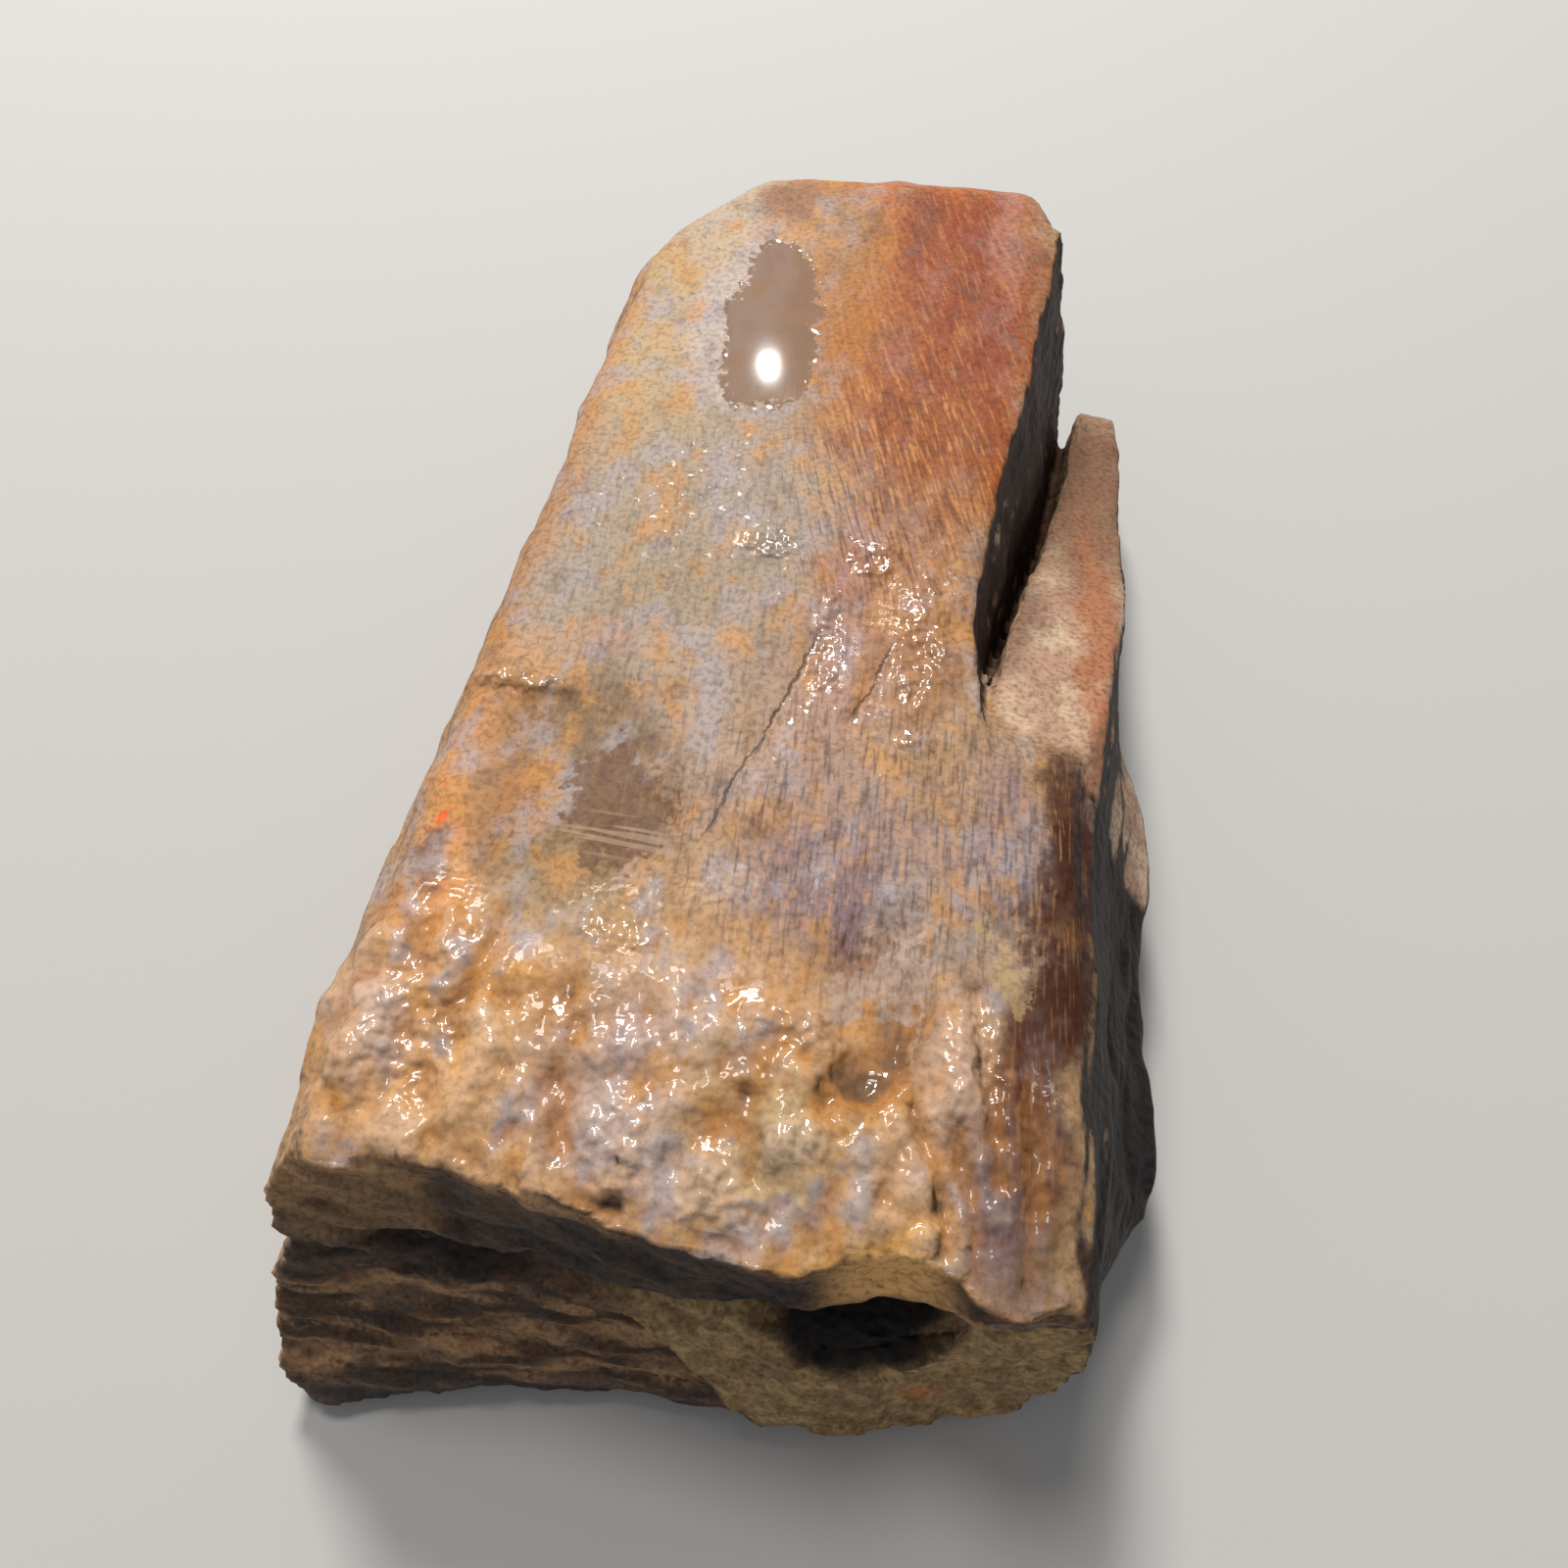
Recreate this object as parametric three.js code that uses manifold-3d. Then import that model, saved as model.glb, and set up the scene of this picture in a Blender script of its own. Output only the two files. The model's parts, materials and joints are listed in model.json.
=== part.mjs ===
// Polished agatized dinosaur bone: one tapered block of stone, broken across its near end and
// rounded at its far end. Its top is polished over shallow lumps. Along the right flank a spall
// has come away, which leaves a cliff, a crevice and a ledge that ramps down to the far end.
// Millimetres, +Z up. +Y runs along the bone from the broken end to the rounded end, and the
// stone rests on a flat spot at z = 0.

import * as THREE from "three";
import { ImprovedNoise } from "three/addons/math/ImprovedNoise.js";
import { mergeVertices } from "three/addons/utils/BufferGeometryUtils.js";
import Module from "manifold-3d";

// Driving dimensions.
const THICKNESS = 24;
const BREAK_Y = -36; // where the broken end meets the top, about its middle
const TIP = { x: 6.5, y: 49.5, z: 11 }; // the farthest point of the rounded end
const REST_SPOT = { x: 0, y: -3, halfWidth: 15, halfLength: 27 };
const CORNER_RADIUS = { topLeft: 2.4, topRight: 1.6, baseRight: 2.6, baseLeft: 3.4 };

// Outlines of the block, as [y, x] from the broken end to the rounded end.
const LEFT_TOP = along([[-36, -19.4], [-12, -18.6], [12, -17.1], [50, -16.3]]);
const LEFT_BASE = along([[-46, -23.2], [-20, -21.8], [12, -19.6], [50, -18.6]]);
const RIGHT_TOP = along([
  [-36, 19.9], [-12, 18.8], [-6, 19.2], [6, 20], [16, 20.6], [36.5, 21], [39.5, 14.8], [50, 14],
]);
const RIGHT_BASE = along([
  [-42, 20.8], [-39, 22], [-33, 23.8], [-24, 24.6], [14, 23.8],
  [30, 23.2], [36.5, 22.2], [39.5, 16.8], [50, 15.5],
]);

// The rounded end: where each side starts to turn in, and how squarely it turns. The end is
// skewed, so that it reaches farther on the right.
const END = {
  left: { shoulder: 24, squareness: 2.05 },
  right: { shoulder: 39.5, squareness: 2 },
  top: { shoulder: 40, squareness: 2.2 },
  base: { shoulder: 35, squareness: 2.2 },
};
const END_SKEW = { from: 30, to: 48, slope: 0.08 };

// Waves of the two long walls between base and top, at shares of the height. The right wall
// swells low down between two places on y. The left wall has a groove near the broken end.
const RIGHT_SWELL = { share: 0.25, width: 0.15, depth: 2.1, fadeIn: [-35, -27], fadeOut: [-4, 9] };
const BELLY = { left: 0.7, rightNear: 1.2, rightFar: 0.4 }; // the gentle swell of each whole wall
const LEFT_GROOVE = { share: 0.62, width: 0.08, depth: 0.8, fadeOut: [-34, -16] };

// The broken end: its place in y, as [z, y] up lines that each stand at one x. Under the lip it
// falls back into hollows, and lower down it comes forward in ledges.
const BREAK_LINES = [
  breakLine(-20, [
    [0.7, -45.4], [4.3, -43.6], [9.5, -40.3], [13.9, -38.4], [15.1, -37.4],
    [16.2, -38.1], [17.5, -37.9], [22.3, -34.3], [24.5, -34.3],
  ]),
  breakLine(-17, [
    [0.5, -45], [4.1, -43.2], [9.5, -39.7], [13.4, -37.5], [14.6, -36.2],
    [15.7, -37.6], [17.1, -37.5], [22.5, -34.9], [24.5, -34.9],
  ]),
  breakLine(-14, [
    [0.5, -44.1], [3.8, -42.6], [9.4, -39.4], [12.9, -37.3], [14.2, -34.2],
    [15.4, -36.8], [17.5, -36.5], [22.6, -34.6], [24.5, -34.6],
  ]),
  breakLine(-11, [
    [1, -42.6], [3.5, -42], [9.1, -39.3], [12.6, -37.4], [13.8, -33.3],
    [14.9, -36.6], [18.7, -35.7], [22.6, -34.5], [24.5, -34.5],
  ]),
  breakLine(-8, [
    [1, -42.6], [3.3, -41.8], [9, -39.2], [12.5, -36.9], [13.6, -33.3],
    [14.6, -36.5], [19.9, -35.3], [22.7, -34.8], [24.5, -34.8],
  ]),
  breakLine(-5, [
    [1, -42.5], [3, -41.6], [9.9, -38.6], [12.1, -37.5], [13.3, -33.1],
    [14.6, -36.7], [20.5, -35.7], [22.7, -35.4], [24.5, -35.4],
  ]),
  breakLine(-2, [
    [0.9, -41.7], [3, -41.4], [10.5, -38], [12, -37.6], [13.4, -33.2],
    [14.9, -37], [20.5, -36.3], [22.8, -36], [24.5, -36],
  ]),
  breakLine(1, [
    [0.5, -41.8], [3, -41.2], [8.9, -38.3], [12, -37.3], [13.6, -34.3],
    [15.2, -37.4], [20.5, -36.7], [22.8, -36.5], [24.5, -36.5],
  ]),
  breakLine(4, [
    [0.2, -41.6], [3, -41.1], [7.9, -39], [11.9, -37.7], [13.8, -34.2],
    [15.7, -37.5], [20.5, -36.8], [22.8, -36.7], [24.5, -36.7],
  ]),
  breakLine(6.5, [
    [0, -41.5], [3, -41.1], [7.5, -39.5], [11.5, -38.4], [13.9, -33],
    [16.3, -37.5], [20, -37.1], [22.8, -37.1], [24.5, -37.1],
  ]),
  breakLine(8.5, [
    [0, -41.7], [3, -40.9], [7.7, -39.4], [11.2, -38.5], [14.5, -31.2],
    [17.8, -36.8], [19.3, -36.8], [22.8, -35.6], [24.5, -35.6],
  ]),
  breakLine(10.5, [
    [0, -41.5], [3, -40.7], [7.9, -39.3], [11.2, -38.6], [14.6, -30],
    [18, -36.4], [19, -36.3], [22.8, -34.7], [24.5, -34.7],
  ]),
  breakLine(13, [
    [0, -41.2], [3, -40.3], [8.5, -38.8], [11.8, -38], [14.9, -30.7],
    [18, -36.3], [19, -36.3], [22.6, -35.2], [24.5, -35.2],
  ]),
  breakLine(16, [
    [0, -40.5], [3, -39.7], [9.7, -37.9], [16.8, -36.7], [18, -34.6],
    [19.1, -36.8], [20.2, -36.9], [22.5, -36.9], [24.5, -36.9],
  ]),
  breakLine(20, [
    [0, -39.7], [3.3, -38.7], [12.3, -37], [18, -36.4], [18.8, -35.8],
    [19.5, -36.3], [20.5, -36.3], [21.7, -35.6], [24.5, -35.6],
  ]),
];
const BREAK_REACH = 16; // how far along the bone the break's shape carries into the skin
const BASE_OUTREACH = 7; // how much nearer the break meets the base than the top
const CHIPS = [
  { height: 0.5, sizeX: 5, sizeZ: 2.6, seed: 3.1 },
  { height: 0.3, sizeX: 2.2, sizeZ: 1.5, seed: 8.4 },
];

// The lower block of the break stands forward, right of a ridge that climbs to the left.
const LOWER_BLOCK = {
  xAtBase: 7.2,
  lean: -0.87, // how far the ridge moves in x for each mm up
  step: 0.7,
  ridgeWidth: 1.2,
  fade: [4, 14], // over which distances right of the ridge the step fades out
  topZ: [9.5, 12.5],
};

// The spall on the right flank, as [y, value] along the bone.
const SPALL = { from: -12, end: 37, to: 48, step: 1.9, reachX: 34, clearZ: 28, belowZ: -4 };
const CLIFF_X = along([
  [-12, 13.6], [-8, 12.9], [-3.5, 12.2], [3, 11.6], [10, 12],
  [16, 12.6], [22, 13.6], [32, 14.4], [40, 15.4], [48, 19],
]);
const CLIFF_LEAN = 0.2; // how far the cliff comes out for each mm down
const RAMP_Z = along([
  [-12, 25], [-8.5, 23.4], [-2, 21.4], [6, 18.8], [16, 14.8], [24, 11.8], [30, 10.6], [44, 9.6],
]);
const RAMP_INNER_X = along([[-6, 13], [-2, 13.4], [6, 14.5], [16, 16.6], [24, 18.1], [36, 19.5], [48, 20.4]]);
const CREVICE_DEPTH = along([[-3, 0], [0, 3.5], [7, 9], [16, 8.5], [30, 6.5], [48, 6]]);

// Places on the polished top.
const VUG = { x: 8.6, y: -24.6, radius: 2.6, depth: 1.6 };
const SUNKEN_PATCH = { x: -9.5, y: -14.5, halfWidth: 8, halfLength: 8.5, depth: 0.4 };
const CRACK = { from: [5.5, 2.5], to: [-3.5, -14], halfWidth: 0.9, depth: 0.4 };

// How finely the skin is divided.
const ACROSS = 24;
const UP = 18;
const STATION_STEP = 2.2;
const END_RINGS = 8;

const noise = new ImprovedNoise();
const { clamp, lerp, smoothstep } = THREE.MathUtils;

// A smooth curve through [key, value] pairs, flat beyond its ends.
function along(pairs) {
  const slope = (i) => {
    const a = pairs[Math.max(i - 1, 0)];
    const b = pairs[Math.min(i + 1, pairs.length - 1)];
    return (b[1] - a[1]) / (b[0] - a[0]);
  };
  return (key) => {
    if (key <= pairs[0][0]) return pairs[0][1];
    if (key >= pairs.at(-1)[0]) return pairs.at(-1)[1];
    const i = pairs.findIndex((pair) => pair[0] > key) - 1;
    const [k0, v0] = pairs[i];
    const [k1, v1] = pairs[i + 1];
    const span = k1 - k0;
    const t = (key - k0) / span;
    const bend = t * (1 - t);
    const ends = (1 - t) * slope(i) - t * slope(i + 1);
    return lerp(v0, v1, t * t * (3 - 2 * t)) + span * bend * ends;
  };
}

function breakLine(x, pairs) {
  return { x, yAt: along(pairs) };
}

// Noise of about the given grain size in mm along each axis, from -1 to 1.
function grain(p, sizeX, sizeY, sizeZ, seed) {
  return noise.noise(p.x / sizeX + seed, p.y / sizeY + seed * 1.7, p.z / sizeZ - seed);
}

function bump(value, centre, width) {
  return Math.exp(-(((value - centre) / width) ** 2));
}

// How much of a side is left at y, from 1 at its shoulder to 0 at the tip.
function endShare({ shoulder, squareness }, y) {
  const past = clamp((y - shoulder) / (TIP.y - shoulder), 0, 1);
  return Math.pow(1 - Math.pow(past, squareness), 1 / squareness);
}

// The two long walls at y, at share h of the height.
function leftX(y, h) {
  const { share, width, depth, fadeOut } = LEFT_GROOVE;
  const groove = depth * bump(h, share, width) * (1 - smoothstep(y, ...fadeOut));
  const x = lerp(LEFT_BASE(y), LEFT_TOP(y), h) - BELLY.left * Math.sin(Math.PI * h) + groove;
  return lerp(TIP.x, x, endShare(END.left, y));
}

function rightX(y, h) {
  const { share, width, depth, fadeIn, fadeOut } = RIGHT_SWELL;
  const near = smoothstep(y, ...fadeIn) * (1 - smoothstep(y, ...fadeOut));
  const belly = lerp(BELLY.rightNear, BELLY.rightFar, smoothstep(y, ...fadeOut)) * Math.sin(Math.PI * h);
  const x = lerp(RIGHT_BASE(y), RIGHT_TOP(y), h) + belly + near * depth * bump(h, share, width);
  return lerp(TIP.x, x, endShare(END.right, y));
}

// The top is slightly crowned, and sags a little towards the break.
function topZ(x, y) {
  const crown = -0.0022 * (x + 1) ** 2;
  const sag = -1.2 * smoothstep(-y, 26, 38);
  return lerp(TIP.z, THICKNESS + crown + sag, endShare(END.top, y));
}

// The base is flat over the rest spot, and lifts off the table outside it.
function baseZ(x, y) {
  const { halfWidth, halfLength } = REST_SPOT;
  const outside = Math.max(Math.abs(x - REST_SPOT.x) / halfWidth, Math.abs(y - REST_SPOT.y) / halfLength);
  return lerp(TIP.z, 2.2 * smoothstep(outside, 1, 1.9), endShare(END.base, y));
}

// The point of the section at y that lies at share t across and share h up.
function sectionPoint(y, t, h) {
  const x = lerp(leftX(y, h), rightX(y, h), t);
  const z = lerp(baseZ(x, y), topZ(x, y), h);
  const onLeft = t < 0.5;
  const onTop = h > 0.5;
  const full = CORNER_RADIUS[(onTop ? "top" : "base") + (onLeft ? "Left" : "Right")];
  const radius = full * lerp(0.3, 1, Math.min(endShare(END.left, y), endShare(END.top, y)));
  const inX = onLeft ? leftX(y, onTop ? 1 : 0) + radius : rightX(y, onTop ? 1 : 0) - radius;
  const inZ = onTop ? topZ(x, y) - radius : baseZ(x, y) + radius;
  const dx = x - inX;
  const dz = z - inZ;
  const reach = Math.hypot(dx, dz);
  const inCorner = dx < 0 === onLeft && dz > 0 === onTop;
  if (!inCorner || reach <= radius) return [x, z];
  return [inX + (dx / reach) * radius, inZ + (dz / reach) * radius];
}

// Where the broken end lies in y, at x across and z up.
function breakY(x, z) {
  const beyond = BREAK_LINES.findIndex((line) => line.x > x);
  const right = beyond < 0 ? BREAK_LINES.length - 1 : Math.max(beyond, 1);
  const [a, b] = [BREAK_LINES[right - 1], BREAK_LINES[right]];
  const face = lerp(a.yAt(z), b.yAt(z), smoothstep(x, a.x, b.x));
  const ridgeX = LOWER_BLOCK.xAtBase + LOWER_BLOCK.lean * z;
  const rightOfRidge = x - ridgeX;
  const stepUp = smoothstep(rightOfRidge, 0, LOWER_BLOCK.ridgeWidth);
  const forward = stepUp - smoothstep(rightOfRidge, ...LOWER_BLOCK.fade);
  const below = 1 - smoothstep(z, ...LOWER_BLOCK.topZ);
  const chip = (c) => c.height * grain({ x, y: 0, z }, c.sizeX, 9, c.sizeZ, c.seed);
  const rough = CHIPS.reduce((sum, c) => sum + chip(c), 0);
  const calmEdges = 0.4 + 0.6 * Math.sin((Math.PI * z) / THICKNESS);
  return face - LOWER_BLOCK.step * forward * below + rough * calmEdges;
}

// Closer spacing near both ends of a side.
function spread(i, count) {
  const t = i / count;
  return t - (0.35 * Math.sin(2 * Math.PI * t)) / (2 * Math.PI);
}

// A point of the block's skin. Near the break, it follows the break's shape in y.
function skinPoint(y, i, j) {
  const h = spread(j, UP);
  const pull = 1 - smoothstep(y, BREAK_Y, BREAK_Y + BREAK_REACH);
  const [x, z] = sectionPoint(y - BASE_OUTREACH * pull * (1 - h), spread(i, ACROSS), h);
  const skew = END_SKEW.slope * (x - 1) * smoothstep(y, END_SKEW.from, END_SKEW.to);
  return new THREE.Vector3(x, y + (breakY(x, z) - BREAK_Y) * pull + skew, z);
}

// The grid steps [i, j] round a section, clockwise from its top left as seen from the break.
function rimSteps() {
  const rim = [];
  for (let i = 0; i < ACROSS; i++) rim.push([i, UP]);
  for (let j = UP; j > 0; j--) rim.push([ACROSS, j]);
  for (let i = ACROSS; i > 0; i--) rim.push([i, 0]);
  for (let j = 0; j < UP; j++) rim.push([0, j]);
  return rim;
}

// Quads between rings of the given size, each split in two.
function ringFaces(ringCount, size) {
  const faces = [];
  for (let r = 0; r < ringCount - 1; r++) {
    for (let i = 0; i < size; i++) {
      const a = r * size + i;
      const b = r * size + ((i + 1) % size);
      faces.push(a, b, a + size, b, b + size, a + size);
    }
  }
  return faces;
}

// Triangles from one point to every edge of the ring that starts at start.
function fanFaces(point, start, size, towardsBreak) {
  const faces = [];
  for (let i = 0; i < size; i++) {
    const a = start + i;
    const b = start + ((i + 1) % size);
    faces.push(point, ...(towardsBreak ? [b, a] : [a, b]));
  }
  return faces;
}

function closedGeometry(points, faces) {
  const geometry = new THREE.BufferGeometry().setFromPoints(points);
  geometry.setIndex(faces);
  return geometry;
}

// The whole block before the spall: a grid over the break, rings along the bone, and rings that
// close on the tip.
function blockGeometry() {
  const rim = rimSteps();
  const straight = Math.round((END.top.shoulder - BREAK_Y) / STATION_STEP);
  const stations = [];
  for (let s = 0; s <= straight; s++) stations.push(lerp(BREAK_Y, END.top.shoulder, s / straight));
  for (let e = 1; e < END_RINGS; e++) {
    stations.push(lerp(END.top.shoulder, TIP.y, Math.sin((e / END_RINGS) * (Math.PI / 2))));
  }
  const points = stations.flatMap((y) => rim.map(([i, j]) => skinPoint(y, i, j)));
  const tip = points.push(skinPoint(TIP.y, 0, 0)) - 1;

  const key = (i, j) => i + j * (ACROSS + 1);
  const indexAt = new Map(rim.map(([i, j], k) => [key(i, j), k]));
  for (let j = 1; j < UP; j++) {
    for (let i = 1; i < ACROSS; i++) {
      indexAt.set(key(i, j), points.length);
      points.push(skinPoint(BREAK_Y, i, j));
    }
  }

  const faces = ringFaces(stations.length, rim.length);
  faces.push(...fanFaces(tip, (stations.length - 1) * rim.length, rim.length, false));
  for (let j = 0; j < UP; j++) {
    for (let i = 0; i < ACROSS; i++) {
      const [a, b] = [indexAt.get(key(i, j)), indexAt.get(key(i + 1, j))];
      const [d, c] = [indexAt.get(key(i, j + 1)), indexAt.get(key(i + 1, j + 1))];
      faces.push(a, b, c, a, c, d);
    }
  }
  return closedGeometry(points, faces);
}

// Height of the relief at a point of the skin, outwards along its normal.
function relief(p, normal) {
  const up = smoothstep(normal.z, 0.5, 0.9);
  const down = smoothstep(-normal.z, 0.3, 0.8);
  const front = smoothstep(-normal.y, 0.4, 0.8);
  const near = 1 - smoothstep(p.y, -20, 4);
  const fibres = grain(p, 2.4, 16, 2.4, 1.3);
  const swells = 0.5 * grain(p, 9, 12, 9, 5.2) + 0.28 * grain(p, 4.2, 5, 4.2, 2.6);
  const lumps = 0.55 * grain(p, 4.6, 6, 6, 7.7) + 0.3 * grain(p, 2.8, 3.4, 4, 4.9);
  const top = lerp(0.35, 0.6, near) * swells + near * lumps + 0.1 * fibres - hollowsOfTop(p);
  const facets = 1.1 * grain(p, 13, 11, 9, 11.4) * smoothstep(p.y, 0, 30);
  const wall = 0.9 * swells + facets + 0.35 * fibres + 0.35 * grain(p, 3, 7, 2.2, 9.1);
  return lerp(lerp(wall, 0.4 * swells, front), top, up) * (1 - down);
}

// The vug, the sunken patch and the crack of the polished top.
function hollowsOfTop(p) {
  const vug = VUG.depth * bump(Math.hypot(p.x - VUG.x, p.y - VUG.y), 0, VUG.radius);
  const patchX = (p.x - SUNKEN_PATCH.x) / SUNKEN_PATCH.halfWidth;
  const patchY = (p.y - SUNKEN_PATCH.y) / SUNKEN_PATCH.halfLength;
  const ragged = 0.25 * grain(p, 5, 5, 5, 6.3);
  const patch = SUNKEN_PATCH.depth * (1 - smoothstep(Math.hypot(patchX, patchY) + ragged, 0.75, 1.15));
  const line = new THREE.Line3(new THREE.Vector3(...CRACK.from, 0), new THREE.Vector3(...CRACK.to, 0));
  const flat = new THREE.Vector3(p.x, p.y, 0);
  const away = line.closestPointToPoint(flat, true, new THREE.Vector3()).distanceTo(flat);
  return vug + patch + CRACK.depth * bump(away, 0, CRACK.halfWidth);
}

// Moves each vertex of a closed skin along its normal by the relief, and keeps the rest spot flat.
function roughen(geometry) {
  geometry.computeVertexNormals();
  const position = geometry.getAttribute("position");
  const normals = geometry.getAttribute("normal");
  const p = new THREE.Vector3();
  const n = new THREE.Vector3();
  for (let i = 0; i < position.count; i++) {
    p.fromBufferAttribute(position, i);
    n.fromBufferAttribute(normals, i);
    p.addScaledVector(n, relief(p, n));
    position.setXYZ(i, p.x, p.y, Math.max(p.z, 0));
  }
  geometry.deleteAttribute("normal");
  return geometry;
}

// The space that the spall left, as a section at y: right of the cliff and above the ledge, with
// the crevice between them. Past the ledge's end it reaches below the table.
function spallSection(y) {
  const past = smoothstep(y, SPALL.end - 0.6, SPALL.end + 1.4);
  const rough = (seed) => 0.45 * grain({ x: 0, y, z: 0 }, 9, 3.4, 3, seed);
  const cliff = CLIFF_X(y);
  const ramp = lerp(RAMP_Z(y), SPALL.belowZ, past);
  const floor = lerp(RAMP_Z(y) - CREVICE_DEPTH(y), SPALL.belowZ, past);
  const inner = Math.max(RAMP_INNER_X(y), cliff + 0.6);
  const cliffAt = (z) => cliff + CLIFF_LEAN * (THICKNESS - z);
  const floorX = Math.min(cliffAt(floor), inner - 0.5);
  const midZ = lerp(floor, Math.max(THICKNESS, ramp + 0.6), 0.5);
  return [
    [cliff - 0.6, SPALL.clearZ],
    [SPALL.reachX, SPALL.clearZ],
    [SPALL.reachX, ramp - 0.9],
    [23, ramp - 0.4 + rough(2.2)],
    [19.5, ramp + rough(6.4)],
    [inner, ramp + 0.4 + rough(4.3)],
    [lerp(floorX, inner, 0.6), floor],
    [floorX, floor + 0.3],
    [Math.min(cliffAt(midZ), inner - 0.3) + rough(1.9), midZ],
    [cliff + rough(7.1), Math.max(THICKNESS - 0.8, ramp + 0.5)],
  ];
}

function spallGeometry() {
  const count = Math.ceil((SPALL.to - SPALL.from) / SPALL.step);
  const rings = [];
  for (let s = 0; s <= count; s++) {
    const y = lerp(SPALL.from, SPALL.to, s / count);
    rings.push(spallSection(y).map(([x, z]) => new THREE.Vector3(x, y, z)));
  }
  const size = rings[0].length;
  const middle = (ring) => ring.reduce((sum, p) => sum.add(p), new THREE.Vector3()).divideScalar(size);
  const points = [...rings.flat(), middle(rings[0]), middle(rings.at(-1))];
  const faces = [
    ...ringFaces(rings.length, size),
    ...fanFaces(points.length - 2, 0, size, true),
    ...fanFaces(points.length - 1, (rings.length - 1) * size, size, false),
  ];
  return closedGeometry(points, faces);
}

function solidOf(wasm, geometry) {
  const merged = mergeVertices(geometry, 1e-4);
  const vertProperties = merged.getAttribute("position").array;
  const triVerts = new Uint32Array(merged.index.array);
  return new wasm.Manifold(new wasm.Mesh({ numProp: 3, vertProperties, triVerts }));
}

function geometryOf(solid) {
  const { vertProperties, triVerts } = solid.getMesh();
  const geometry = new THREE.BufferGeometry();
  geometry.setAttribute("position", new THREE.BufferAttribute(vertProperties, 3));
  geometry.setIndex(new THREE.BufferAttribute(triVerts, 1));
  geometry.computeVertexNormals();
  return geometry;
}

// Puts the origin under the middle of the stone's box.
function centred(geometry) {
  geometry.computeBoundingBox();
  const middle = geometry.boundingBox.getCenter(new THREE.Vector3());
  return geometry.translate(-middle.x, -middle.y, 0);
}

const wasm = await Module();
wasm.setup();

const block = solidOf(wasm, roughen(blockGeometry()));
const spall = solidOf(wasm, spallGeometry());
const stone = geometryOf(block.subtract(spall));

const agate = new THREE.MeshStandardMaterial({ color: 0x9a6f4c, roughness: 0.25, metalness: 0 });
const bone = new THREE.Mesh(centred(stone), agate);
bone.name = "agatized_bone";

const part = new THREE.Group();
part.add(bone);

export default part;
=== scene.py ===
import json
import math
from collections import namedtuple

import bpy
import numpy as np
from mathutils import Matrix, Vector, noise

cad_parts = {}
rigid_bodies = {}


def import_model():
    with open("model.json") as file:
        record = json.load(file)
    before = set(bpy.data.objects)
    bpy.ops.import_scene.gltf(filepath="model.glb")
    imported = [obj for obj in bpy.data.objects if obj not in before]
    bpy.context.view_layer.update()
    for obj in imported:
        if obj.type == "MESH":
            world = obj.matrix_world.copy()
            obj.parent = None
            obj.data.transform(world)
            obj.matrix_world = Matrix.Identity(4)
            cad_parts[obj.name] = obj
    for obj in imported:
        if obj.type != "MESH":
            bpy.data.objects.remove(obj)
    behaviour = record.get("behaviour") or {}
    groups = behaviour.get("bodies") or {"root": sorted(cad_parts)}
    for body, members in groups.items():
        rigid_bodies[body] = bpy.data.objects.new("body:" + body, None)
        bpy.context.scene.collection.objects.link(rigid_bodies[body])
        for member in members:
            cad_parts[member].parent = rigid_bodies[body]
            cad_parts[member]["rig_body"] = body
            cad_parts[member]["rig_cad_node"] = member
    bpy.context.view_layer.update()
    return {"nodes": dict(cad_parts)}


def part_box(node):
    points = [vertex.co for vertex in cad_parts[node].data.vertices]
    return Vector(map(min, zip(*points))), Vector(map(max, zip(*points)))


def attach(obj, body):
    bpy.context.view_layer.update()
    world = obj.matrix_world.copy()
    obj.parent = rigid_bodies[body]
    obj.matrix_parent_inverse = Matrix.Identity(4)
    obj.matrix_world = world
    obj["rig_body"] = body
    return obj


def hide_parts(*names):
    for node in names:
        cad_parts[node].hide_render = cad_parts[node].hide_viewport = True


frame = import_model()

# The piece is shaped in millimetres and put back into metres. +Y runs from the broken end to the
# rounded end, +Z up through the polished top, and +X towards the spalled flank.
MM = 0.001
NODE = "agatized_bone"
GRAIN_STEP = 0.38  # side of the remeshed faces
TOP = 23.6  # about where the polished top lies

CAMERA_PLACE = (5.2, -46.4, 80.0)
CAMERA_TILT = math.radians(30)
CAMERA_TURN = math.radians(9.1)
FRAME_PIXELS = 1600
FOCAL_PIXELS = 1202
SENSOR = 36.0
LAMP_DISTANCE = 600


def tone(red, green, blue):
    """A colour as it looks on a screen, 0 to 255, as the shader wants it."""
    linear = [((c / 255 + 0.055) / 1.055) ** 2.4 for c in (red, green, blue)]
    return (*linear, 1.0)


def smooth(value, low, high):
    """0 at low and 1 at high, with soft ends. High may be below low."""
    t = np.clip((value - low) / (high - low), 0, 1)
    return t * t * (3 - 2 * t)


def ripple(points, size, seed=0.0):
    """Noise from -1 to 1 at each point, with swells of about the given size in mm on x, y, z."""
    scaled = points / np.array(size, float) + np.array((seed, seed * 1.7, -seed))
    return np.array([noise.noise(p) for p in scaled.tolist()])


def knobs(points, size, seed=0.0):
    """Rounded knobs side by side, 1 at each knob's crown and near 0 in the seams."""
    scaled = points / np.array(size, float) + np.array((seed, -seed, seed))
    near = np.array([noise.voronoi(p)[0][0] for p in scaled.tolist()])
    return 1 - np.clip(near, 0, 1) ** 2


def mound(points, x, y, half_x, half_y, turn=0.0):
    """1 at a place on the top, falling to 0 a little past the half widths. Turn is in degrees."""
    c, s = math.cos(math.radians(turn)), math.sin(math.radians(turn))
    dx, dy = points[:, 0] - x, points[:, 1] - y
    return np.exp(-(((dx * c + dy * s) / half_x) ** 2) - ((dy * c - dx * s) / half_y) ** 2)


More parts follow.
